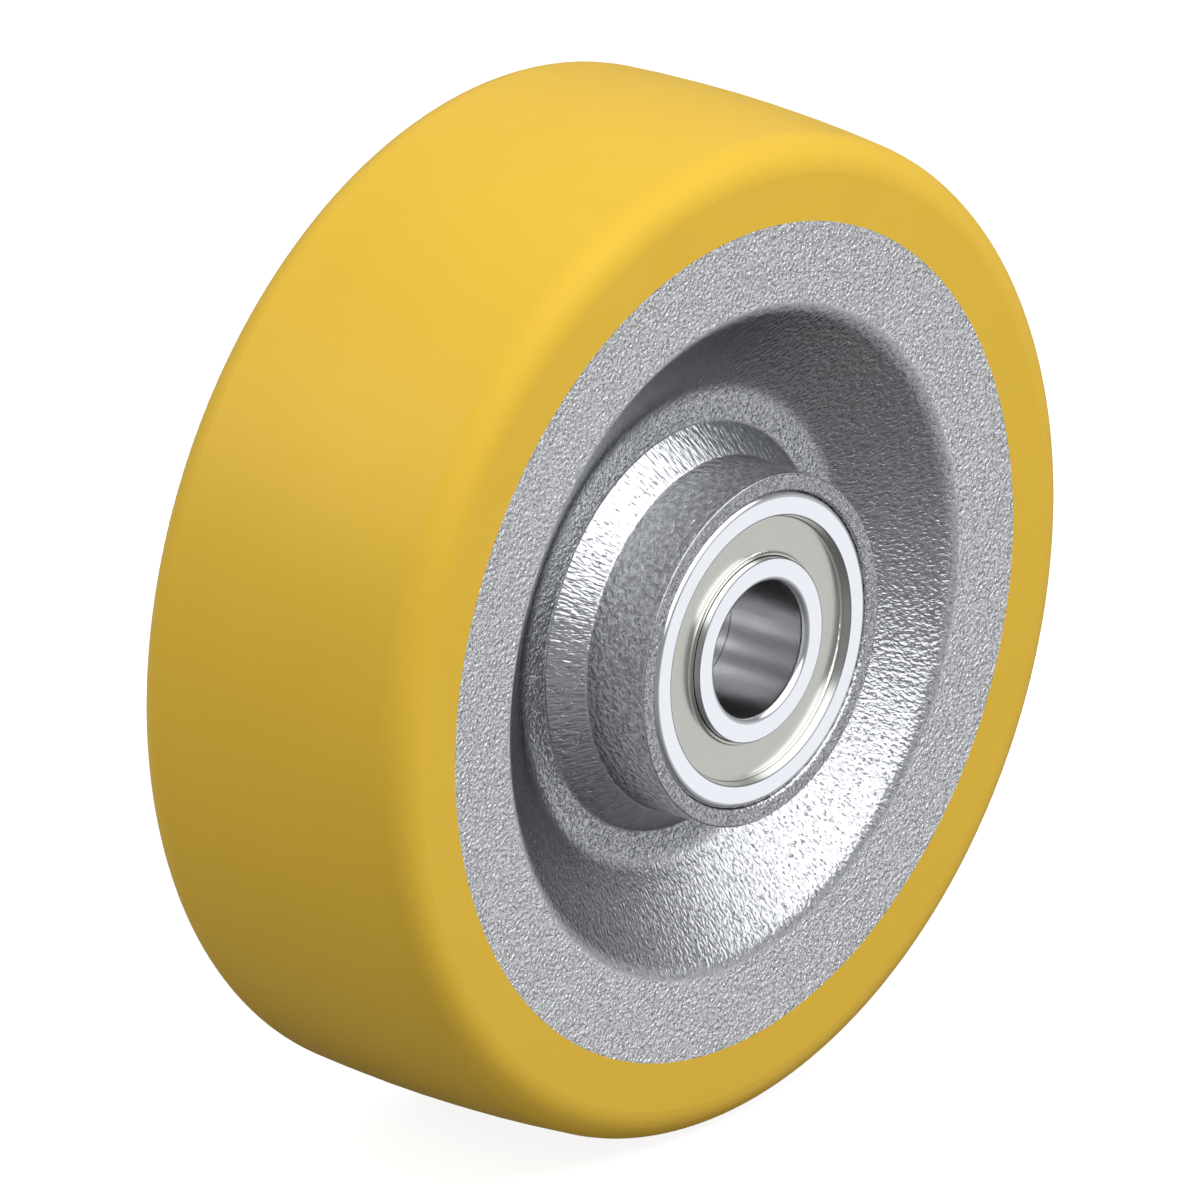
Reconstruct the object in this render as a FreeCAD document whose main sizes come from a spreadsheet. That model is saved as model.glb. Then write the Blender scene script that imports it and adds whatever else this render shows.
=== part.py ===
import FreeCAD, Part
import math
import os
import Sketcher

# Caster wheel, 150 mm across the tread: a cast-iron centre with a bonded elastomer tread, turning on
# two shielded ball bearings that a spacer tube holds apart on the axle.
# Millimetres. The origin is the wheel's centre, +Y runs along the axle and +Z is up.

# Each size is written once, here, as name, value and meaning.
SIZES = [
    ("tread_diameter", 150.0, "running diameter at the top of the crown"),
    ("wheel_width", 50.0, "rim and tread, side face to side face"),
    ("tread_thickness", 13.0, "top of the crown down to the iron rim"),
    ("crown_section_radius", 240.0, "section radius of the crowned running face"),
    ("tread_edge_round", 5.0, "rounding where the running face meets a side"),
    ("rim_face_width", 12.1, "iron rim's side face, across it"),
    ("recess_mouth_round", 0.4, "rounding of the side recess at the rim's face"),
    ("recess_floor_width", 5.2, "flat floor of the recess, out from the hub's foot"),
    ("recess_floor_round", 3.0, "rounding at the outside of that floor"),
    ("web_thickness", 30.0, "web between the two recesses"),
    ("hub_foot_spread", 4.2, "cone of the hub's foot, out from the hub's neck"),
    ("hub_foot_height", 4.6, "height of that cone"),
    ("hub_foot_round", 0.3, "rounding at both ends of that cone"),
    ("hub_draft", 0.15, "neck of the hub beyond its end face"),
    ("hub_wall", 2.6, "hub's end face round the bearing, across it"),
    ("hub_edge_round", 0.25, "rounding round the hub's end face"),
    ("seat_mouth_round", 0.5, "rounding at the mouth of a bearing's seat"),
    ("hub_length", 60.0, "over the end faces of the hub and the bearings"),
    ("bearing_shoulder", 3.0, "height of the shoulder behind a bearing's outer ring"),
    ("bore_diameter", 20.0, "axle bore through inner rings and spacer"),
    ("spacer_wall", 3.0, "wall of the spacer tube"),
    ("bearing_diameter", 47.0, "outside of the outer ring"),
    ("bearing_width", 14.0, "width of both rings"),
    ("ring_corner_round", 1.0, "corners at the bearing's bore and outside"),
    ("ring_back_round", 0.15, "corner at the bore where an inner ring meets the spacer"),
    ("inner_land_drop", 3.05, "pitch circle down to the inner ring's land"),
    ("inner_land_round", 0.1, "corner of the inner ring's land"),
    ("outer_land_rise", 2.25, "pitch circle up to the outer ring's land"),
    ("shield_seat_rise", 3.2, "pitch circle up to the seat of a shield"),
    ("seat_edge_round", 0.1, "edge of that seat at the ring's face"),
    ("ball_diameter", 7.938, "bearing ball"),
    ("ball_count", 8, "balls in each bearing"),
    ("ball_clearance", 0.02, "between a ball and each race"),
    ("race_opening", 0.16, "section radius of a race beyond the ball's radius"),
    ("shield_thickness", 0.3, "sheet of a shield"),
    ("shield_recess", 1.5, "ring face down to the shield's sheet"),
    ("shield_lip_round", 0.35, "inside radius of a shield's turned-up lips"),
    ("shield_lip_straight", 0.1, "straight end of those lips"),
    ("shield_gap", 0.12, "between a shield and the inner ring"),
    ("cage_thickness", 0.6, "sheet of a cage half"),
    ("cage_width", 2.8, "cage across its ribbon"),
    ("cage_clearance", 0.1, "between a ball and its pocket"),
    ("rivet_diameter", 1.2, "shank of a cage rivet"),
    ("rivet_head_diameter", 2.0, "head of a cage rivet"),
    ("rivet_head_height", 0.45, "height of that head"),
]

# A rounding takes at most this share of the wall that it rounds.
LARGEST_SHARE = 0.8

# Lengths that follow from the sizes, each the text of an expression.
TREAD_RADIUS = "Sizes.tread_diameter / 2"
HALF_WIDTH = "Sizes.wheel_width / 2"
CROWN_RADIUS = "Sizes.crown_section_radius"
CROWN_EDGE_RADIUS = f"{TREAD_RADIUS} - {CROWN_RADIUS} + sqrt({CROWN_RADIUS}^2 - ({HALF_WIDTH})^2)"
RIM_RADIUS = f"{TREAD_RADIUS} - Sizes.tread_thickness"
TREAD_SIDE = f"{CROWN_EDGE_RADIUS} - ({RIM_RADIUS})"
TREAD_EDGE_ROUND = f"min(Sizes.tread_edge_round; {LARGEST_SHARE} * ({TREAD_SIDE}))"
RECESS_MOUTH_RADIUS = f"{RIM_RADIUS} - Sizes.rim_face_width"
HALF_WEB = "Sizes.web_thickness / 2"
HALF_HUB = "Sizes.hub_length / 2"
BEARING_RADIUS = "Sizes.bearing_diameter / 2"
HALF_BEARING = "Sizes.bearing_width / 2"
BEARING_SEAT_END = f"{HALF_HUB} - Sizes.bearing_width"
BEARING_STATION = f"({HALF_HUB} - {HALF_BEARING})"
HUB_CORE_RADIUS = f"{BEARING_RADIUS} - Sizes.bearing_shoulder"
HUB_FACE_RADIUS = f"{BEARING_RADIUS} + Sizes.hub_wall"
HUB_NECK_RADIUS = f"{HUB_FACE_RADIUS} + Sizes.hub_draft"
HUB_NECK_HEIGHT = f"{HALF_WEB} + Sizes.hub_foot_height"
HUB_FOOT_RADIUS = f"{HUB_NECK_RADIUS} + Sizes.hub_foot_spread"
RECESS_FLOOR_RADIUS = f"{HUB_FOOT_RADIUS} + Sizes.recess_floor_width"
BORE_RADIUS = "Sizes.bore_diameter / 2"
SPACER_RADIUS = f"{BORE_RADIUS} + Sizes.spacer_wall"
PITCH_RADIUS = "(Sizes.bore_diameter + Sizes.bearing_diameter) / 4"
INNER_LAND_RADIUS = f"{PITCH_RADIUS} - Sizes.inner_land_drop"
OUTER_LAND_RADIUS = f"{PITCH_RADIUS} + Sizes.outer_land_rise"
SHIELD_SEAT_RADIUS = f"{PITCH_RADIUS} + Sizes.shield_seat_rise"
BALL_RADIUS = "Sizes.ball_diameter / 2"
BALL_STEP = "(360 deg / Sizes.ball_count)"
RACE_RADIUS = f"{BALL_RADIUS} + Sizes.race_opening"
RACE_SHIFT = "Sizes.race_opening - Sizes.ball_clearance"
INNER_RACE_HALF = f"sqrt(({RACE_RADIUS})^2 - (Sizes.inner_land_drop + {RACE_SHIFT})^2)"
OUTER_RACE_HALF = f"sqrt(({RACE_RADIUS})^2 - (Sizes.outer_land_rise + {RACE_SHIFT})^2)"
SHIELD_FACE = f"{HALF_BEARING} - Sizes.shield_recess"
SHIELD_BACK = f"{SHIELD_FACE} - Sizes.shield_thickness"
SHIELD_LIP_TOP = f"{SHIELD_FACE} + Sizes.shield_lip_round + Sizes.shield_lip_straight"
SHIELD_INNER_RADIUS = f"{INNER_LAND_RADIUS} + Sizes.shield_gap"
SHIELD_BEND_ROUND = "Sizes.shield_lip_round + Sizes.shield_thickness"
POCKET_RADIUS = f"{BALL_RADIUS} + Sizes.cage_clearance"
CUP_RADIUS = f"{POCKET_RADIUS} + Sizes.cage_thickness"
CAGE_INNER_RADIUS = f"{PITCH_RADIUS} - Sizes.cage_width / 2"
CAGE_OUTER_RADIUS = f"{PITCH_RADIUS} + Sizes.cage_width / 2"
RIVET_RADIUS = "Sizes.rivet_diameter / 2"
RIVET_HEAD_RADIUS = "Sizes.rivet_head_diameter / 2"
RIVET_HEAD_TOP = "Sizes.cage_thickness + Sizes.rivet_head_height"

FULL_TURN = 360.0
HALF_TURN = 180.0
SAME_PLACE = 1e-4
OUTWARD, INWARD = 1, -1
FACING_BACK, FACING_FRONT = 1, -1

doc = FreeCAD.newDocument("caster_wheel")
sub_parts = []
sheet = doc.addObject("Spreadsheet::Sheet", "Sizes")
for row, (alias, value, meaning) in enumerate(SIZES, start=1):
    sheet.set(f"A{row}", alias)
    sheet.set(f"B{row}", str(value))
    sheet.set(f"C{row}", meaning)
    sheet.setAlias(f"B{row}", alias)
doc.recompute()


def number(expression):
    """Value of an expression over the sheet, in millimetres."""
    return float(sheet.evalExpression(expression))


def new_body(label):
    body = doc.addObject("PartDesign::Body", label)
    body.Label = label
    sub_parts.append(body)
    return body


def origin_feature(body, role):
    return next(f for f in body.Origin.OriginFeatures if f.Role == role)


def new_sketch(body, name, role="XY_Plane"):
    sketch = body.newObject("Sketcher::SketchObject", name)
    sketch.AttachmentSupport = [(origin_feature(body, role), "")]
    sketch.MapMode = "FlatFace"
    return sketch


def pin_point(sketch, edge, end, across, along):
    """Hold one end of an edge at two expressions, radius across and place along the axle."""
    for kind, expression in (("DistanceX", across), ("DistanceY", along)):
        index = sketch.addConstraint(Sketcher.Constraint(kind, -1, 1, edge, end, number(expression)))
        sketch.setExpression(f"Constraints[{index}]", expression)


def round_edge(start, stop, radius, bulge):
    """Arc between two points in line with the axle, bulging outward or inward, drawn anticlockwise."""
    half_chord = (stop - start).Length / 2
    centre = (start + stop) / 2 - FreeCAD.Vector(bulge * math.sqrt(radius**2 - half_chord**2), 0, 0)
    spread = math.asin(half_chord / radius)
    middle = 0.0 if bulge == OUTWARD else math.pi
    circle = Part.Circle(centre, FreeCAD.Vector(0, 0, 1), radius)
    return Part.ArcOfCircle(circle, middle - spread, middle + spread)


def draw_outline(sketch, corners, arcs):
    """Closed outline through corners; arcs gives the radius and bulge of the edges that are round."""
    places = [FreeCAD.Vector(number(across), number(along), 0) for across, along in corners]
    first_end = []
    for index, start in enumerate(places):
        stop = places[(index + 1) % len(places)]
        if index in arcs:
            radius, bulge = arcs[index]
            sketch.addGeometry(round_edge(start, stop, number(radius), bulge))
            upward = stop.y > start.y
            first_end.append(1 if upward == (bulge == OUTWARD) else 2)
        else:
            sketch.addGeometry(Part.LineSegment(start, stop))
            first_end.append(1)
    for index, (across, along) in enumerate(corners):
        after = (index + 1) % len(corners)
        last_end = 3 - first_end[index]
        sketch.addConstraint(Sketcher.Constraint("Coincident", index, last_end, after, first_end[after]))
        pin_point(sketch, index, first_end[index], across, along)
    for index, (radius, _) in arcs.items():
        held = sketch.addConstraint(Sketcher.Constraint("Radius", index, number(radius)))
        sketch.setExpression(f"Constraints[{held}]", radius)


def turn(body, name, corners, arcs=None, kind="PartDesign::Revolution", about_edge=None):
    """Turned solid, or groove, from an outline of radius and place along the axle.

    It turns about the axle, or about one straight edge of its own outline."""
    sketch = new_sketch(body, f"{name}_outline")
    draw_outline(sketch, corners, arcs or {})
    feature = body.newObject(kind, name)
    feature.Profile = sketch
    axis = "V_Axis" if about_edge is None else f"Edge{about_edge + 1}"
    feature.ReferenceAxis = (sketch, [axis])
    feature.Angle = FULL_TURN
    doc.recompute()
    return feature


def both_sides(half):
    """A half outline, drawn from the mid plane's side outwards, continued on the other side."""
    return half + [(across, f"-({along})") for across, along in reversed(half)]


def round_edges(body, name, radius, rims):
    """Round the circular edges that lie at the given radii and places along the axle."""
    base = body.Tip
    wanted = [(number(across), number(along)) for across, along in rims]
    found = []
    for index, edge in enumerate(base.Shape.Edges, start=1):
        if not isinstance(edge.Curve, Part.Circle):
            continue
        here = (edge.Curve.Radius, edge.Curve.Center.y)
        if any(math.dist(here, place) < SAME_PLACE for place in wanted):
            found.append(f"Edge{index}")
    feature = body.newObject("PartDesign::Fillet", name)
    feature.Base = (base, found)
    feature.setExpression("Radius", radius)
    doc.recompute()
    return feature


def mirror_rims(*rims):
    return list(rims) + [(across, f"-({along})") for across, along in rims]


def repeat_round(body, name, original):
    """Repeat a feature once for each ball round the axle."""
    pattern = body.newObject("PartDesign::PolarPattern", name)
    pattern.Originals = [original]
    pattern.Axis = (origin_feature(body, "Y_Axis"), [""])
    pattern.Angle = FULL_TURN
    pattern.setExpression("Occurrences", "Sizes.ball_count")
    body.Tip = pattern
    doc.recompute()
    return pattern


# Tread: one elastomer ring, bonded to the rim, with a crowned running face and rounded edges.
def make_tread():
    body = new_body("tread")
    half = [(RIM_RADIUS, HALF_WIDTH), (CROWN_EDGE_RADIUS, HALF_WIDTH)]
    corners = both_sides(half)
    turn(body, "tread_ring", corners, {1: (CROWN_RADIUS, OUTWARD)})
    rims = mirror_rims((CROWN_EDGE_RADIUS, HALF_WIDTH))
    round_edges(body, "tread_edges", TREAD_EDGE_ROUND, rims)


# Wheel centre: one iron casting with rim, web and hub, and a turned seat for a bearing at each end.
def make_wheel_centre():
    body = new_body("wheel_centre")
    half = [
        (HUB_CORE_RADIUS, BEARING_SEAT_END),
        (BEARING_RADIUS, BEARING_SEAT_END),
        (BEARING_RADIUS, HALF_HUB),
        (HUB_FACE_RADIUS, HALF_HUB),
        (HUB_NECK_RADIUS, HUB_NECK_HEIGHT),
        (HUB_FOOT_RADIUS, HALF_WEB),
        (RECESS_FLOOR_RADIUS, HALF_WEB),
        (RECESS_MOUTH_RADIUS, HALF_WIDTH),
        (RIM_RADIUS, HALF_WIDTH),
    ]
    turn(body, "centre_casting", both_sides(half))
    mouths = mirror_rims((RECESS_MOUTH_RADIUS, HALF_WIDTH))
    round_edges(body, "recess_mouths", "Sizes.recess_mouth_round", mouths)
    floors = mirror_rims((RECESS_FLOOR_RADIUS, HALF_WEB))
    round_edges(body, "recess_floors", "Sizes.recess_floor_round", floors)
    feet = mirror_rims((HUB_FOOT_RADIUS, HALF_WEB), (HUB_NECK_RADIUS, HUB_NECK_HEIGHT))
    round_edges(body, "hub_feet", "Sizes.hub_foot_round", feet)
    faces = mirror_rims((HUB_FACE_RADIUS, HALF_HUB))
    round_edges(body, "hub_edges", "Sizes.hub_edge_round", faces)
    seats = mirror_rims((BEARING_RADIUS, HALF_HUB))
    round_edges(body, "seat_mouths", "Sizes.seat_mouth_round", seats)


# Spacer tube: keeps the two inner rings apart when the axle is done up.
def make_spacer_tube():
    body = new_body("spacer_tube")
    half = [(BORE_RADIUS, BEARING_SEAT_END), (SPACER_RADIUS, BEARING_SEAT_END)]
    turn(body, "spacer_wall", both_sides(half))


def make_outer_ring(label):
    body = new_body(label)
    half = [
        (OUTER_LAND_RADIUS, OUTER_RACE_HALF),
        (OUTER_LAND_RADIUS, SHIELD_BACK),
        (SHIELD_SEAT_RADIUS, SHIELD_BACK),
        (SHIELD_SEAT_RADIUS, HALF_BEARING),
        (BEARING_RADIUS, HALF_BEARING),
    ]
    corners = both_sides(half)
    race_edge = len(corners) - 1
    turn(body, f"{label}_blank", corners, {race_edge: (RACE_RADIUS, OUTWARD)})
    outside = mirror_rims((BEARING_RADIUS, HALF_BEARING))
    round_edges(body, f"{label}_corners", "Sizes.ring_corner_round", outside)
    seats = mirror_rims((SHIELD_SEAT_RADIUS, HALF_BEARING))
    round_edges(body, f"{label}_seat_edges", "Sizes.seat_edge_round", seats)
    return body


def make_inner_ring(label):
    body = new_body(label)
    half = [
        (INNER_LAND_RADIUS, INNER_RACE_HALF),
        (INNER_LAND_RADIUS, HALF_BEARING),
        (BORE_RADIUS, HALF_BEARING),
    ]
    corners = both_sides(half)
    race_edge = len(corners) - 1
    turn(body, f"{label}_blank", corners, {race_edge: (RACE_RADIUS, INWARD)})
    round_edges(body, f"{label}_corner", "Sizes.ring_corner_round", [(BORE_RADIUS, HALF_BEARING)])
    back_rim = [(BORE_RADIUS, f"-({HALF_BEARING})")]
    round_edges(body, f"{label}_back_corner", "Sizes.ring_back_round", back_rim)
    lands = mirror_rims((INNER_LAND_RADIUS, HALF_BEARING))
    round_edges(body, f"{label}_land_edges", "Sizes.inner_land_round", lands)
    return body


# Shield: a dished sheet ring. Its outer lip seats in the outer ring and its inner lip runs clear of
# the inner ring, so both corners of the shield's groove look rounded from outside.
def make_shield(label):
    body = new_body(label)
    inner_lip_radius = f"{SHIELD_INNER_RADIUS} + Sizes.shield_thickness"
    outer_lip_radius = f"{SHIELD_SEAT_RADIUS} - Sizes.shield_thickness"
    corners = [
        (SHIELD_INNER_RADIUS, SHIELD_BACK),
        (SHIELD_SEAT_RADIUS, SHIELD_BACK),
        (SHIELD_SEAT_RADIUS, SHIELD_LIP_TOP),
        (outer_lip_radius, SHIELD_LIP_TOP),
        (outer_lip_radius, SHIELD_FACE),
        (inner_lip_radius, SHIELD_FACE),
        (inner_lip_radius, SHIELD_LIP_TOP),
        (SHIELD_INNER_RADIUS, SHIELD_LIP_TOP),
    ]
    turn(body, f"{label}_dish", corners)
    insides = [(outer_lip_radius, SHIELD_FACE), (inner_lip_radius, SHIELD_FACE)]
    round_edges(body, f"{label}_lips", "Sizes.shield_lip_round", insides)
    outsides = [(SHIELD_INNER_RADIUS, SHIELD_BACK), (SHIELD_SEAT_RADIUS, SHIELD_BACK)]
    round_edges(body, f"{label}_bends", SHIELD_BEND_ROUND, outsides)
    return body


def place(sub_part, along, facing=FACING_BACK):
    """Put a sub-part at a place along the axle, as modelled or turned end for end."""
    if facing == FACING_FRONT:
        end_for_end = FreeCAD.Rotation(FreeCAD.Vector(1, 0, 0), HALF_TURN)
        sub_part.Placement = FreeCAD.Placement(FreeCAD.Vector(), end_for_end)
    sub_part.setExpression("Placement.Base.y", along)


def add_sphere(body, name, kind, radius):
    """Sphere on the first ball's place, half a step round from the first rivet."""
    sphere = body.newObject(kind, name)
    sphere.setExpression("Radius", radius)
    sphere.setExpression("Placement.Base.x", f"{PITCH_RADIUS} * cos({BALL_STEP} / 2)")
    sphere.setExpression("Placement.Base.z", f"{PITCH_RADIUS} * sin({BALL_STEP} / 2)")
    doc.recompute()
    return sphere


# Cage half: a pressed ribbon on the balls' mid plane, with a cup round one side of each ball and a
# rivet hole between each two cups.
def make_cage_half(label):
    body = new_body(label)
    ribbon = [
        (CAGE_INNER_RADIUS, "0"),
        (CAGE_OUTER_RADIUS, "0"),
        (CAGE_OUTER_RADIUS, "Sizes.cage_thickness"),
        (CAGE_INNER_RADIUS, "Sizes.cage_thickness"),
    ]
    turn(body, f"{label}_ribbon", ribbon)
    cup = add_sphere(body, f"{label}_cup", "PartDesign::AdditiveSphere", CUP_RADIUS)
    repeat_round(body, f"{label}_cups", cup)
    reach = f"{CAGE_OUTER_RADIUS} + {CUP_RADIUS}"
    height = f"2 * ({CUP_RADIUS})"
    trim = [
        ("0", f"-({height})"),
        (reach, f"-({height})"),
        (reach, height),
        (CAGE_OUTER_RADIUS, height),
        (CAGE_OUTER_RADIUS, "0"),
        (CAGE_INNER_RADIUS, "0"),
        (CAGE_INNER_RADIUS, height),
        ("0", height),
    ]
    turn(body, f"{label}_trim", trim, kind="PartDesign::Groove")
    pocket = add_sphere(body, f"{label}_pocket", "PartDesign::SubtractiveSphere", POCKET_RADIUS)
    repeat_round(body, f"{label}_pockets", pocket)
    sketch = new_sketch(body, f"{label}_hole_outline", "XZ_Plane")
    sketch.addGeometry(Part.Circle(FreeCAD.Vector(number(PITCH_RADIUS), 0, 0), FreeCAD.Vector(0, 0, 1), 1))
    pin_point(sketch, 0, 3, PITCH_RADIUS, "0")
    held = sketch.addConstraint(Sketcher.Constraint("Radius", 0, number(RIVET_RADIUS)))
    sketch.setExpression(f"Constraints[{held}]", RIVET_RADIUS)
    hole = body.newObject("PartDesign::Pocket", f"{label}_hole")
    hole.Profile = sketch
    hole.Type = "Length"
    hole.SideType = "Symmetric"
    hole.setExpression("Length", "4 * Sizes.cage_thickness")
    doc.recompute()
    repeat_round(body, f"{label}_holes", hole)
    return body


# Rivets: one between each two balls, through both cage halves, with a head at each end.
def make_rivets(label):
    body = new_body(label)
    half = [
        (f"{PITCH_RADIUS} + {RIVET_RADIUS}", "Sizes.cage_thickness"),
        (f"{PITCH_RADIUS} + {RIVET_HEAD_RADIUS}", "Sizes.cage_thickness"),
        (f"{PITCH_RADIUS} + {RIVET_HEAD_RADIUS}", RIVET_HEAD_TOP),
        (PITCH_RADIUS, RIVET_HEAD_TOP),
    ]
    rivet = turn(body, f"{label}_first", both_sides(half), about_edge=3)
    repeat_round(body, f"{label}_ring", rivet)
    return body


def make_ball(label, turn_number, along):
    ball = doc.addObject("Part::Sphere", label)
    ball.Label = label
    sub_parts.append(ball)
    angle = f"({turn_number} - 0.5) * {BALL_STEP}"
    ball.setExpression("Radius", BALL_RADIUS)
    ball.setExpression("Placement.Base.x", f"{PITCH_RADIUS} * cos({angle})")
    ball.setExpression("Placement.Base.y", along)
    ball.setExpression("Placement.Base.z", f"{PITCH_RADIUS} * sin({angle})")


# Bearing: two rings, the balls in their riveted cage and a shield at each side.
def make_bearing(name, along, outside):
    inside = -outside
    place(make_outer_ring(f"{name}_outer_ring"), along)
    place(make_inner_ring(f"{name}_inner_ring"), along, outside)
    place(make_shield(f"{name}_outer_shield"), along, outside)
    place(make_shield(f"{name}_inner_shield"), along, inside)
    place(make_cage_half(f"{name}_cage_outer_half"), along, outside)
    place(make_cage_half(f"{name}_cage_inner_half"), along, inside)
    place(make_rivets(f"{name}_cage_rivets"), along)
    for turn_number in range(1, int(number("Sizes.ball_count")) + 1):
        make_ball(f"{name}_ball_{turn_number}", turn_number, along)


def check_model():
    """Stop before anything is written if an object failed or a sub-part isn't a sound solid."""
    doc.recompute()
    for item in doc.Objects:
        if "Invalid" in item.State or "Error" in item.State:
            raise RuntimeError(f"{item.Name} failed: {item.State}")
    for sub_part in sub_parts:
        shape = sub_part.Shape
        if shape.isNull() or not shape.isValid() or not shape.Solids:
            raise RuntimeError(f"{sub_part.Label} isn't a sound solid")


def write_parts():
    os.makedirs("parts", exist_ok=True)
    for sub_part in sub_parts:
        sub_part.Shape.exportStep(os.path.join("parts", f"{sub_part.Label}.step"))


make_tread()
make_wheel_centre()
make_spacer_tube()
make_bearing("front", f"-{BEARING_STATION}", FACING_FRONT)
make_bearing("back", BEARING_STATION, FACING_BACK)
check_model()
write_parts()
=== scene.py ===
import math
from types import SimpleNamespace

import bpy
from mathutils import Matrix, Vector


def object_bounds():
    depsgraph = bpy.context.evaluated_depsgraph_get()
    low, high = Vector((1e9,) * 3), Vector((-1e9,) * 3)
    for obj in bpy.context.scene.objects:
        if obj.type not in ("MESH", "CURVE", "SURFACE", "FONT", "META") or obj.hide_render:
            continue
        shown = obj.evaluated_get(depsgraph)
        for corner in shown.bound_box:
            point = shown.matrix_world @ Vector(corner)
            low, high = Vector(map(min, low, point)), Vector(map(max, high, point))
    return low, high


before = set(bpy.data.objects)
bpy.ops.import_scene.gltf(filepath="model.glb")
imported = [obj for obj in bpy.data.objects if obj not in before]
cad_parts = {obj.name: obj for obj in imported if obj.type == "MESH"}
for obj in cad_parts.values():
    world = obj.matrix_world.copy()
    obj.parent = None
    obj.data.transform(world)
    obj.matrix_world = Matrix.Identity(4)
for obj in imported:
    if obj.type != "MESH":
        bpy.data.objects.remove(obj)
cad_low, cad_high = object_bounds()

MM = 0.001
WHITE = (1.0, 1.0, 1.0, 1.0)

# Camera, a parallel projection from the photograph's side
CAMERA_AZIMUTH = -50.0
CAMERA_ELEVATION = 22.0
CAMERA_DISTANCE = 1.0
PHOTO_WIDTH_PX = 1200.0
PHOTO_PX_PER_MM = 7.003

# Two soft lamps, one high in front and one high behind on the left, in a plain pale room
LAMP_DISTANCE = 0.9
KEY = dict(azimuth=5.0, elevation=52.0, size=0.60, radiance=5.2, mirrored=False)
SHEEN = dict(azimuth=-132.0, elevation=35.0, size=0.50, radiance=2.1, mirrored=True)
ROOM_LEVEL = 0.60
BACKDROP_LEVEL = 1.0

# Floor, which is grey for the light that it throws back and white for the camera
FLOOR_HALF_WIDTH = 3.0
FLOOR_GREY = (0.34, 0.34, 0.34, 1.0)
FLOOR_ROUGHNESS = 0.9
FLOOR_CAMERA_GLOW = 0.88

# Room that glossy surfaces mirror: a darker floor that fades between two elevations to pale walls
MIRRORED_FLOOR = 0.25
MIRRORED_WALLS = 0.50
FLOOR_FADE = (-60.0, -20.0)
DARKEST = 0.05

# Patches in that room, whose last two values are angles from the patch's middle
SOFT_BOX = dict(azimuth=3.0, elevation=42.0, level=2.5, full_to=36.0, gone_from=46.0)
WHITE_CARD = dict(azimuth=50.0, elevation=-22.0, level=0.48, full_to=5.0, gone_from=45.0)
BACK_GLOW = dict(azimuth=-132.0, elevation=38.0, level=2.7, full_to=0.0, gone_from=25.0)
BLACK_CARD = dict(azimuth=114.0, elevation=-29.0, level=-0.30, full_to=5.0, gone_from=55.0)

# Form of the iron centre and the bearings, which their materials follow
MOUTH_RADIUS = 49.9 * MM
FLOOR_EDGE_RADIUS = 35.6 * MM
RECESS_DEPTH = 10.0 * MM
WALL_TILT = math.atan2(RECESS_DEPTH, MOUTH_RADIUS - FLOOR_EDGE_RADIUS)
CONE_FOOT_RADIUS = 30.4 * MM
CONE_TOP_RADIUS = 26.4 * MM
HUB_EDGE_RADIUS = 26.1 * MM
HUB_END = cad_high.y
BORE_RADIUS = 10.0 * MM
BEARING_WIDTH = 14.0 * MM

# Radii between which the shading bends round the recess's two edges
FLOOR_ROUNDING = (33.0 * MM, 36.7 * MM)
MOUTH_ROUNDING = (47.4 * MM, 50.5 * MM)

# Borders between kinds of grain: two half widths, and two stretches just inside the hub's edge
RIM_BORDER = 0.50 * MM
CONE_BORDER = 0.25 * MM
HUB_END_FADE = (HUB_END - 0.20 * MM, HUB_END - 0.10 * MM)
HUB_EDGE_FADE = (HUB_EDGE_RADIUS - 0.20 * MM, HUB_EDGE_RADIUS - 0.10 * MM)

# Tread elastomer
TREAD_DARK = (0.79, 0.500, 0.046, 1.0)
TREAD_LIGHT = (0.83, 0.535, 0.055, 1.0)
TREAD_CLOUD_SIZE = 18.0 * MM
TREAD_GLOSS_SIZE = 3.0 * MM
TREAD_ROUGHNESS = (0.36, 0.44)
TREAD_SPECULAR = 0.15
TREAD_SKIN_SIZE = 1.2 * MM
TREAD_SKIN_DEPTH = 0.012 * MM

# Cast iron, whose neck is coloured lighter than its hub as a painted sheen, with its roughness
# inside the rim and on it
IRON_RIM = (0.600, 0.610, 0.634, 1.0)
IRON_WALL = (0.372, 0.380, 0.400, 1.0)
IRON_HUB = (0.425, 0.435, 0.458, 1.0)
IRON_NECK_PAINTED_SHEEN = (0.575, 0.578, 0.582, 1.0)
IRON_EDGE_TINT = (0.65, 0.65, 0.65, 1.0)
IRON_ROUGHNESS = (0.22, 0.34)

# Creases in the casting's skin: how far off a noise's middle they reach, and how dark their
# painted shade is
CREASE_REACH = 0.05
CREASE_PAINTED_SHADE = 0.80

# Grain of the flats, whose heights and painted shading (shade in the hollows, highlight on the
# lumps) are given inside the rim and on it
GRAIN_SIZE = 0.62 * MM
GRAIN_DEPTH = 0.26 * MM
GRAIN_STRETCH = 0.40  # factor on the place along the axle, so a smaller one makes longer grain
GRAIN_CREASE_SIZE = 0.70 * MM
LUMP_HEIGHTS = (1.15, 1.45)
CREASE_HEIGHTS = (0.30, 0.22)
LUMP_SPAN = (0.30, 0.65)
HOLLOW_PAINTED_SHADES = (0.88, 0.84)
LUMP_PAINTED_HIGHLIGHTS = (1.10, 1.14)

# Ripples of the hub's neck, with painted shade in their hollows and creases and painted highlight
# on their crests
RIPPLE_SIZE = 0.80 * MM
RIPPLE_DEPTH = 0.33 * MM
RIPPLE_STRETCH = 0.85  # the same across the axle
RIPPLE_CREASE_SIZE = 0.9 * MM
RIPPLE_SPAN = (0.36, 0.60)
RIPPLE_PAINTED_SHADING = (0.84, 1.15)
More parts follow.
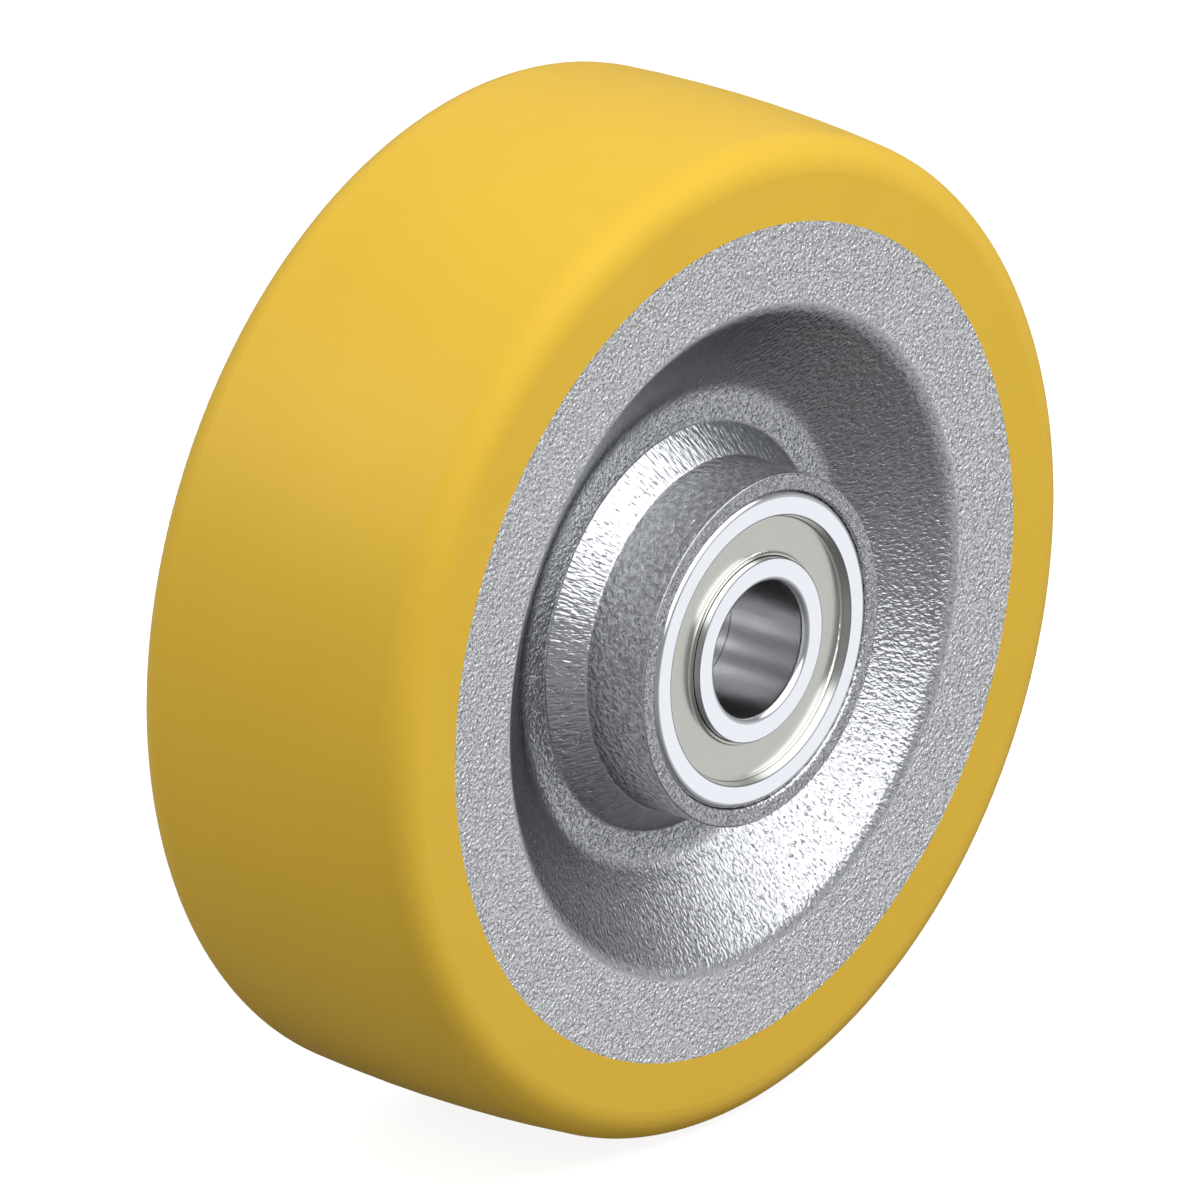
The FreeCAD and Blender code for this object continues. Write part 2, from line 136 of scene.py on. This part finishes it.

# Streaks and pits of the slopes, which keep their true width at each slope's grain radius, with
# painted shade in the pits and the waves' troughs
STREAK_SIZE = 0.50 * MM
STREAK_DEPTH = 0.22 * MM
STREAK_SPAN = (0.30, 0.55)
STREAK_PAINTED_SHADING = (0.82, 1.03)
WALL_GRAIN_RADIUS = 42.0 * MM
WALL_STRETCH = 0.70  # the same down the slope
CONE_GRAIN_RADIUS = 28.3 * MM
CONE_STRETCH = 0.45  # the same down the slope
PIT_SIZE = 0.42 * MM
PIT_SPAN = (0.30, 0.38)
PIT_DEPTH_SHARE = 0.45
PIT_PAINTED_SHADE = 0.72

# Bearing rings, with painted shade in their grooves and corners and painted shadow lines along
# their bright faces' edges
RING_FACE = (0.86, 0.88, 0.94, 1.0)
RING_GROOVE_PAINTED_SHADE = (0.68, 0.69, 0.72, 1.0)
RING_CORNER_PAINTED_SHADE = (0.50, 0.51, 0.54, 1.0)
RING_BORE = (0.807, 0.81, 0.825, 1.0)
RING_JOINT = (0.20, 0.20, 0.21, 1.0)
RING_ROUGHNESS = 0.07
BORE_ROUGHNESS = 0.21
RING_LINE_DEPTH = 0.0006 * MM
BRIGHT_FROM = 10.9 * MM
BRIGHT_TO = 22.6 * MM
BRIGHT_BORDER = 0.06 * MM
FACE_EDGES = (13.62 * MM, 20.03 * MM)
FACE_EDGE_PAINTED_SHADOW = (0.22, 0.23, 0.25, 1.0)
PAINTED_SHADOW_LINE_FADE = (0.09 * MM, 0.144 * MM)

# Stretches over which a ring changes colour: past its bore, off its joint and on its end face
BORE_FADE = (BORE_RADIUS + 0.10 * MM, BORE_RADIUS + 0.25 * MM)
JOINT_FROM_MIDDLE = HUB_END - BEARING_WIDTH
JOINT_FADE = (JOINT_FROM_MIDDLE + 0.08 * MM, JOINT_FROM_MIDDLE + 0.20 * MM)
RING_END_FADE = (HUB_END - 0.10 * MM, HUB_END - 0.03 * MM)

# Other steels, whose turning lines vary their roughness between two factors
LINE_SIZE = 0.25 * MM
LINE_FACTORS = (0.94, 1.06)
SHIELD = dict(colour=(0.540, 0.548, 0.510, 1.0), roughness=0.24, line_depth=0.0001 * MM)
SPACER = dict(colour=RING_BORE, roughness=BORE_ROUGHNESS, line_depth=0.001 * MM)
BALL = dict(colour=(0.86, 0.87, 0.90, 1.0), roughness=0.05, line_depth=0.0001 * MM)
CAGE = dict(colour=(0.60, 0.60, 0.60, 1.0), roughness=0.30, line_depth=0.002 * MM)

# A noise's middle, and the span that nearly all of its values lie in
NOISE_MIDDLE = 0.5
NOISE_SPAN = (0.3, 0.7)

scene = bpy.context.scene
scene.view_settings.view_transform = "Standard"


def direction(azimuth, elevation):
    """Unit vector from the object towards a place round it. Azimuth 0 is in front, at -Y."""
    turn, rise = math.radians(azimuth), math.radians(elevation)
    flat = math.cos(rise)
    return Vector((math.sin(turn) * flat, -math.cos(turn) * flat, math.sin(rise)))


def place_facing(item, azimuth, elevation, distance):
    """Puts a camera or a lamp at a place round the object, facing the object's middle."""
    back = direction(azimuth, elevation)
    item.location = back * distance
    item.rotation_mode = "QUATERNION"
    item.rotation_quaternion = (-back).to_track_quat("-Z", "Y")
    scene.collection.objects.link(item)


def make_camera():
    """Parallel camera whose view is as wide as the photograph."""
    data = bpy.data.cameras.new("camera")
    data.type = "ORTHO"
    data.ortho_scale = PHOTO_WIDTH_PX / PHOTO_PX_PER_MM * MM
    camera = bpy.data.objects.new("camera", data)
    place_facing(camera, CAMERA_AZIMUTH, CAMERA_ELEVATION, CAMERA_DISTANCE)
    scene.camera = camera


def make_lamp(name, azimuth, elevation, size, radiance, mirrored):
    """Round soft lamp that faces the object. A radiance of 1 looks white."""
    data = bpy.data.lights.new(name, "AREA")
    data.shape = "DISK"
    data.size = size
    disk_area = math.pi * (size / 2) ** 2
    data.energy = radiance * math.pi * disk_area
    lamp = bpy.data.objects.new(name, data)
    lamp.visible_glossy = mirrored
    place_facing(lamp, azimuth, elevation, LAMP_DISTANCE)


class Nodes:
    """Node building. Each method adds a node and gives its output back."""

    # Mix node sockets of each kind of value: first, second and result
    MIX_SOCKETS = dict(FLOAT=(2, 3, 0), VECTOR=(4, 5, 1), RGBA=(6, 7, 2))

    def __init__(self, tree):
        self.nodes = tree.nodes
        self.links = tree.links

    def find(self, kind):
        """The node of a kind that is there from the start."""
        return next(node for node in self.nodes if node.type == kind)

    def feed(self, socket, value):
        """Links a node's output to a socket, or sets the socket to a plain value."""
        if isinstance(value, bpy.types.NodeSocket):
            self.links.new(value, socket)
        else:
            socket.default_value = value

    def split(self, vector):
        node = self.nodes.new("ShaderNodeSeparateXYZ")
        self.feed(node.inputs[0], vector)
        return node.outputs

    def join(self, x, y, z):
        node = self.nodes.new("ShaderNodeCombineXYZ")
        for socket, value in zip(node.inputs, (x, y, z)):
            self.feed(socket, value)
        return node.outputs[0]

    def math(self, operation, first, second=0.0):
        node = self.nodes.new("ShaderNodeMath")
        node.operation = operation
        self.feed(node.inputs[0], first)
        self.feed(node.inputs[1], second)
        return node.outputs[0]

    def plus(self, first, second):
        return self.math("ADD", first, second)

    def minus(self, first, second):
        return self.math("SUBTRACT", first, second)

    def times(self, first, second):
        return self.math("MULTIPLY", first, second)

    def dot(self, vector, other):
        node = self.nodes.new("ShaderNodeVectorMath")
        node.operation = "DOT_PRODUCT"
        self.feed(node.inputs[0], vector)
        self.feed(node.inputs[1], other)
        return node.outputs["Value"]

    def ramp(self, value, start, stop, low=0.0, high=1.0):
        """Smooth step from low to high as value goes from start to stop."""
        node = self.nodes.new("ShaderNodeMapRange")
        node.interpolation_type = "SMOOTHSTEP"
        limits = {"From Min": start, "From Max": stop, "To Min": low, "To Max": high}
        for name, limit in limits.items():
            self.feed(node.inputs[name], limit)
        self.feed(node.inputs["Value"], value)
        return node.outputs["Result"]

    def past(self, value, border, half_width):
        """0 before a border and 1 past it, with a smooth step between."""
        return self.ramp(value, border - half_width, border + half_width)

    def blend(self, kind, share, low, high):
        """Blend of two values of one kind."""
        node = self.nodes.new("ShaderNodeMix")
        node.data_type = kind
        first, second, result = self.MIX_SOCKETS[kind]
        self.feed(node.inputs[0], share)
        self.feed(node.inputs[first], low)
        self.feed(node.inputs[second], high)
        return node.outputs[result]

    def mix(self, share, low, high):
        """Blend of two numbers."""
        return self.blend("FLOAT", share, low, high)

    def mix_vector(self, share, low, high):
        return self.blend("VECTOR", share, low, high)

    def mix_colour(self, share, low, high):
        return self.blend("RGBA", share, low, high)

    def shade(self, colour, level):
        """Colour times a level."""
        node = self.nodes.new("ShaderNodeVectorMath")
        node.operation = "SCALE"
        self.feed(node.inputs[0], colour)
        self.feed(node.inputs["Scale"], level)
        return node.outputs[0]

    def noise(self, vector, size, detail=2.0, roughness=0.5):
        """Noise whose lumps are about the given size in metres."""
        node = self.nodes.new("ShaderNodeTexNoise")
        self.feed(node.inputs["Vector"], vector)
        self.feed(node.inputs["Scale"], 1.0 / size)
        self.feed(node.inputs["Detail"], detail)
        self.feed(node.inputs["Roughness"], roughness)
        return node.outputs["Fac"]

    def creases(self, vector, size, detail=2.0):
        """0 in thin worm-like creases, where a noise crosses its middle, and 1 elsewhere."""
        off_middle = self.minus(self.noise(vector, size, detail), NOISE_MIDDLE)
        return self.ramp(self.math("ABSOLUTE", off_middle), 0.0, CREASE_REACH)

    def bump(self, height, depth, after=None):
        """Relief in which a height of 1 stands for depth metres."""
        node = self.nodes.new("ShaderNodeBump")
        self.feed(node.inputs["Distance"], depth)
        self.feed(node.inputs["Height"], height)
        if after is not None:
            self.feed(node.inputs["Normal"], after)
        return node.outputs["Normal"]


class Shading(Nodes):
    """Nodes of one material round its Principled shader."""

    def __init__(self, name):
        self.material = bpy.data.materials.new(name)
        self.material.use_nodes = True
        super().__init__(self.material.node_tree)
        self.shader = self.find("BSDF_PRINCIPLED")

    def set(self, name, value):
        self.feed(self.shader.inputs[name], value)

    def position(self):
        """Where the surface is, in the object."""
        return self.nodes.new("ShaderNodeTexCoord").outputs["Object"]

    def normal(self):
        """The shape's own normal, in the world."""
        return self.nodes.new("ShaderNodeNewGeometry").outputs["Normal"]

    def to_world(self, normal):
        """Unit normal in the world, from a direction in the object."""
        node = self.nodes.new("ShaderNodeVectorTransform")
        node.vector_type = "NORMAL"
        node.convert_from = "OBJECT"
        node.convert_to = "WORLD"
        self.feed(node.inputs[0], normal)
        return node.outputs[0]


class TurnedShading(Shading):
    """Shading of a piece round the axle, with each point's x, y, z and radius at hand."""

    def __init__(self, name):
        super().__init__(name)
        self.x, self.y, self.z = self.split(self.position())
        squares = [self.math("POWER", across, 2.0) for across in (self.x, self.z)]
        self.radius = self.math("SQRT", self.plus(*squares))

    def from_middle(self):
        """Distance along the axle from the wheel's middle."""
        return self.math("ABSOLUTE", self.y)

    def turning_lines(self):
        """Noise that is the same all the way round the axle, as a lathe leaves it."""
        return self.noise(self.join(self.radius, self.y, 0.0), LINE_SIZE)


def make_tread_material():
    """Cast elastomer, a little cloudy, with an uneven gloss and a fine skin."""
    paint = Shading("tread_elastomer")
    here = paint.position()
    cloud = paint.noise(here, TREAD_CLOUD_SIZE)
    gloss = paint.noise(here, TREAD_GLOSS_SIZE)
    skin = paint.noise(here, TREAD_SKIN_SIZE, detail=3.0)
    paint.set("Base Color", paint.mix_colour(cloud, TREAD_DARK, TREAD_LIGHT))
    paint.set("Roughness", paint.ramp(gloss, *NOISE_SPAN, *TREAD_ROUGHNESS))
    paint.set("Specular IOR Level", TREAD_SPECULAR)
    paint.set("Normal", paint.bump(skin, TREAD_SKIN_DEPTH))
    return paint.material


def find_zones(paint):
    """Masks of the casting's surfaces: 1 on a surface and 0 off it, with soft borders."""
    on_rim = paint.past(paint.radius, MOUTH_RADIUS, RIM_BORDER)
    past_floor = paint.ramp(paint.radius, *FLOOR_ROUNDING)
    past_cone = paint.past(paint.radius, CONE_FOOT_RADIUS, CONE_BORDER)
    past_neck = paint.past(paint.radius, CONE_TOP_RADIUS, CONE_BORDER)
    on_wall = paint.minus(past_floor, on_rim)
    on_cone = paint.minus(past_neck, past_cone)
    on_end = paint.ramp(paint.from_middle(), *HUB_END_FADE)
    at_edge = paint.ramp(paint.radius, *HUB_EDGE_FADE)
    return SimpleNamespace(
        on_rim=on_rim,
        on_slope=paint.plus(on_wall, on_cone),
        on_neck=paint.minus(1.0, paint.math("MAXIMUM", past_neck, on_end)),
        off_hub_edge=paint.minus(1.0, paint.times(on_end, at_edge)),
        past_floor=past_floor,
        past_cone=past_cone,
    )


def round_recess(paint):
    """Normal from the recess's floor to the rim's face, with a wide rounding at both edges."""
    past_floor = paint.ramp(paint.radius, *FLOOR_ROUNDING)
    past_mouth = paint.ramp(paint.radius, *MOUTH_ROUNDING)
    tilt = paint.times(paint.minus(past_floor, past_mouth), WALL_TILT)
    inwards = paint.math("DIVIDE", paint.math("SINE", tilt), paint.times(paint.radius, -1.0))
    outwards = paint.times(paint.math("COSINE", tilt), paint.math("SIGN", paint.y))
    lean = paint.join(paint.times(paint.x, inwards), outwards, paint.times(paint.z, inwards))
    return paint.to_world(lean)


def add_grain(paint, zones, normal):
    """Casting skin of the flats: round lumps, which are higher on the rim, and thin creases, with
    painted shading.
    """
    place = paint.join(paint.x, paint.times(paint.y, GRAIN_STRETCH), paint.z)
    lumps = paint.noise(place, GRAIN_SIZE, detail=1.0)
    creases = paint.creases(place, GRAIN_CREASE_SIZE, detail=1.5)
    lump_height = paint.times(lumps, paint.mix(zones.on_rim, *LUMP_HEIGHTS))
    crease_height = paint.times(creases, paint.mix(zones.on_rim, *CREASE_HEIGHTS))
    relief = paint.times(paint.plus(lump_height, crease_height), zones.off_hub_edge)
    # Painted shading of the relief: darker in the hollows and creases, lighter on the lumps
    hollow_and_lump_shading = [paint.mix(zones.on_rim, *pair) for pair in (HOLLOW_PAINTED_SHADES, LUMP_PAINTED_HIGHLIGHTS)]
    lump_painted_shading = paint.ramp(lumps, *LUMP_SPAN, *hollow_and_lump_shading)
    painted_shading = paint.times(lump_painted_shading, paint.mix(creases, CREASE_PAINTED_SHADE, 1.0))
    return paint.bump(relief, GRAIN_DEPTH, after=normal), painted_shading


def add_ripples(paint, normal):
    """Casting skin of the hub's neck: wider, smoother lumps with painted shading, and creases
    that are only painted shade.
    """
    across = [paint.times(way, RIPPLE_STRETCH) for way in (paint.x, paint.z)]
    place = paint.join(across[0], paint.y, across[1])
    ripples = paint.noise(place, RIPPLE_SIZE)
    creases = paint.creases(place, RIPPLE_CREASE_SIZE)
    # Painted shading of the ripples: darker in the hollows and creases, lighter on the crests
    ripple_painted_shading = paint.ramp(ripples, *RIPPLE_SPAN, *RIPPLE_PAINTED_SHADING)
    painted_shading = paint.times(ripple_painted_shading, paint.mix(creases, CREASE_PAINTED_SHADE, 1.0))
    return paint.bump(ripples, RIPPLE_DEPTH, after=normal), painted_shading


def add_streaks(paint, zones, normal):
    """Casting skin of the slopes: smooth waves that run down them, and small steep pits, both
    with painted shading.
    """
    grain_radius = paint.mix(zones.past_cone, CONE_GRAIN_RADIUS, WALL_GRAIN_RADIUS)
    widen = paint.math("DIVIDE", grain_radius, paint.radius)
    down_slope = paint.times(paint.radius, paint.mix(zones.past_cone, CONE_STRETCH, WALL_STRETCH))
    place = paint.join(paint.times(paint.x, widen), down_slope, paint.times(paint.z, widen))
    waves = paint.noise(place, STREAK_SIZE, detail=1.5, roughness=0.55)
    unpitted = paint.ramp(paint.noise(place, PIT_SIZE), *PIT_SPAN)
    relief = paint.plus(waves, paint.times(unpitted, PIT_DEPTH_SHARE))
    # Painted shading of the relief: darker in the pits and the waves' troughs, a little lighter
    # on the crests
    wave_painted_shading = paint.ramp(waves, *STREAK_SPAN, *STREAK_PAINTED_SHADING)
    painted_shading = paint.times(wave_painted_shading, paint.mix(unpitted, PIT_PAINTED_SHADE, 1.0))
    return paint.bump(relief, STREAK_DEPTH, after=normal), painted_shading


def make_iron_material():
    """Cast iron. Each surface of the casting has its own colour and its own kind of grain, whose
    relief is also painted in as shade and highlight.
    """
    paint = TurnedShading("cast_iron")
    zones = find_zones(paint)
    normal = paint.mix_vector(zones.past_cone, paint.normal(), round_recess(paint))
    flat_normal, flat_painted_shading = add_grain(paint, zones, normal)
    neck_normal, neck_painted_shading = add_ripples(paint, normal)
    slope_normal, slope_painted_shading = add_streaks(paint, zones, normal)
    level_normal = paint.mix_vector(zones.on_neck, flat_normal, neck_normal)
    level_painted_shading = paint.mix(zones.on_neck, flat_painted_shading, neck_painted_shading)
    # The neck's lighter colour is a painted sheen
    hub_colour = paint.mix_colour(zones.on_neck, IRON_HUB, IRON_NECK_PAINTED_SHEEN)
    inside_colour = paint.mix_colour(zones.past_floor, hub_colour, IRON_WALL)
    colour = paint.mix_colour(zones.on_rim, inside_colour, IRON_RIM)
    painted_shading = paint.mix(zones.on_slope, level_painted_shading, slope_painted_shading)
    # The colour is darkened and lightened by the grain's painted shade and highlight
    paint.set("Base Color", paint.shade(colour, painted_shading))
    paint.set("Specular Tint", IRON_EDGE_TINT)
    paint.set("Metallic", 1.0)
    paint.set("Roughness", paint.mix(zones.on_rim, *IRON_ROUGHNESS))
    paint.set("Normal", paint.mix_vector(zones.on_slope, level_normal, slope_normal))
    return paint.material


def make_turned_steel(name, colour, roughness, line_depth):
    """Bright steel with fine turning lines round the axle."""
    paint = TurnedShading(name)
    lines = paint.turning_lines()
    limits = [roughness * factor for factor in LINE_FACTORS]
    paint.set("Base Color", colour)
    paint.set("Metallic", 1.0)
    paint.set("Roughness", paint.ramp(lines, *NOISE_SPAN, *limits))
    paint.set("Normal", paint.bump(lines, line_depth))
    return paint.material


def make_ring_material():
    """Ring steel: bright faces with painted shadow lines at their edges, painted shade in the
    grooves and corners, and a duller bore.
    """
    paint = TurnedShading("ring_steel")
    past_bore = paint.ramp(paint.radius, *BORE_FADE)
    from_middle = paint.from_middle()
    off_joint = paint.ramp(from_middle, *JOINT_FADE)
    on_end = paint.ramp(from_middle, *RING_END_FADE)
    past_inner_corner = paint.past(paint.radius, BRIGHT_FROM, BRIGHT_BORDER)
    past_outer_corner = paint.past(paint.radius, BRIGHT_TO, BRIGHT_BORDER)
    off_corners = paint.minus(past_inner_corner, past_outer_corner)
    # Painted shadow lines along the faces' inner and outer edges
    face = RING_FACE
    for edge in FACE_EDGES:
        off_edge = paint.math("ABSOLUTE", paint.minus(paint.radius, edge))
        face = paint.mix_colour(paint.ramp(off_edge, *PAINTED_SHADOW_LINE_FADE), FACE_EDGE_PAINTED_SHADOW, face)
    # Painted shade: the grooves and corners are darker than the bright faces
    bright = paint.mix_colour(on_end, RING_GROOVE_PAINTED_SHADE, face)
    outside = paint.mix_colour(off_corners, RING_CORNER_PAINTED_SHADE, bright)
    bore = paint.mix_colour(off_joint, RING_JOINT, RING_BORE)
    paint.set("Base Color", paint.mix_colour(past_bore, bore, outside))
    paint.set("Metallic", 1.0)
    paint.set("Roughness", paint.mix(past_bore, BORE_ROUGHNESS, RING_ROUGHNESS))
    paint.set("Normal", paint.bump(paint.turning_lines(), RING_LINE_DEPTH))
    return paint.material


def dress(material, *names):
    """Gives pieces of the frame a material in place of their own."""
    for name in names:
        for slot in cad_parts[name].material_slots:
            slot.material = material


def add_patch(sky, towards, azimuth, elevation, level, full_to, gone_from):
    """Round patch of light that fades between two angles from its middle."""
    near = sky.dot(towards, direction(azimuth, elevation))
    fade = [math.cos(math.radians(angle)) for angle in (gone_from, full_to)]
    return sky.ramp(near, *fade, 0.0, level)


def make_world():
    """Plain room light. The camera sees white, and glossy surfaces mirror a studio."""
    world = bpy.data.worlds.new("studio")
    scene.world = world
    world.use_nodes = True
    sky = Nodes(world.node_tree)
    towards = sky.nodes.new("ShaderNodeTexCoord").outputs["Generated"]
    height = sky.split(towards)[2]
    floor_fade = [math.sin(math.radians(angle)) for angle in FLOOR_FADE]
    mirrored = sky.ramp(height, *floor_fade, MIRRORED_FLOOR, MIRRORED_WALLS)
    for patch in (SOFT_BOX, WHITE_CARD, BACK_GLOW, BLACK_CARD):
        mirrored = sky.plus(mirrored, add_patch(sky, towards, **patch))
    mirrored = sky.math("MAXIMUM", mirrored, DARKEST)
    path = sky.nodes.new("ShaderNodeLightPath")
    level = sky.mix(path.outputs["Is Glossy Ray"], ROOM_LEVEL, mirrored)
    strength = sky.mix(path.outputs["Is Camera Ray"], level, BACKDROP_LEVEL)
    background = sky.find("BACKGROUND")
    sky.feed(background.inputs["Color"], WHITE)
    sky.feed(background.inputs["Strength"], strength)


def make_floor_material():
    """Grey that glows white for the camera, and that glossy surfaces see the room through."""
    paint = Shading("floor")
    path = paint.nodes.new("ShaderNodeLightPath")
    glow = paint.times(path.outputs["Is Camera Ray"], FLOOR_CAMERA_GLOW)
    paint.set("Base Color", FLOOR_GREY)
    paint.set("Roughness", FLOOR_ROUGHNESS)
    paint.set("Specular IOR Level", 0.0)
    paint.set("Emission Color", WHITE)
    paint.set("Emission Strength", glow)
    clear = paint.nodes.new("ShaderNodeBsdfTransparent")
    blend = paint.nodes.new("ShaderNodeMixShader")
    paint.feed(blend.inputs[0], path.outputs["Is Glossy Ray"])
    paint.feed(blend.inputs[1], paint.shader.outputs[0])
    paint.feed(blend.inputs[2], clear.outputs[0])
    paint.feed(paint.find("OUTPUT_MATERIAL").inputs["Surface"], blend.outputs[0])
    return paint.material


def make_floor():
    """Flat floor at the height of the wheel's lowest point."""
    mesh = bpy.data.meshes.new("floor")
    half = FLOOR_HALF_WIDTH
    corners = ((-half, -half), (half, -half), (half, half), (-half, half))
    mesh.from_pydata([(x, y, cad_low.z) for x, y in corners], [], [(0, 1, 2, 3)])
    mesh.materials.append(make_floor_material())
    floor = bpy.data.objects.new("floor", mesh)
    scene.collection.objects.link(floor)


make_camera()
make_world()
make_floor()
make_lamp("key_lamp", **KEY)
make_lamp("sheen_lamp", **SHEEN)

dress(make_tread_material(), "tread")
dress(make_iron_material(), "wheel_centre")
ring_steel = make_ring_material()
shield_steel = make_turned_steel("shield_steel", **SHIELD)
spacer_steel = make_turned_steel("spacer_steel", **SPACER)
ball_steel = make_turned_steel("ball_steel", **BALL)
cage_steel = make_turned_steel("cage_steel", **CAGE)
for end in ("front", "back"):
    dress(ring_steel, f"{end}_outer_ring", f"{end}_inner_ring")
    dress(shield_steel, f"{end}_outer_shield", f"{end}_inner_shield")
    dress(cage_steel, f"{end}_cage_outer_half", f"{end}_cage_inner_half", f"{end}_cage_rivets")
    dress(ball_steel, *[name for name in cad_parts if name.startswith(f"{end}_ball_")])
dress(spacer_steel, "spacer_tube")
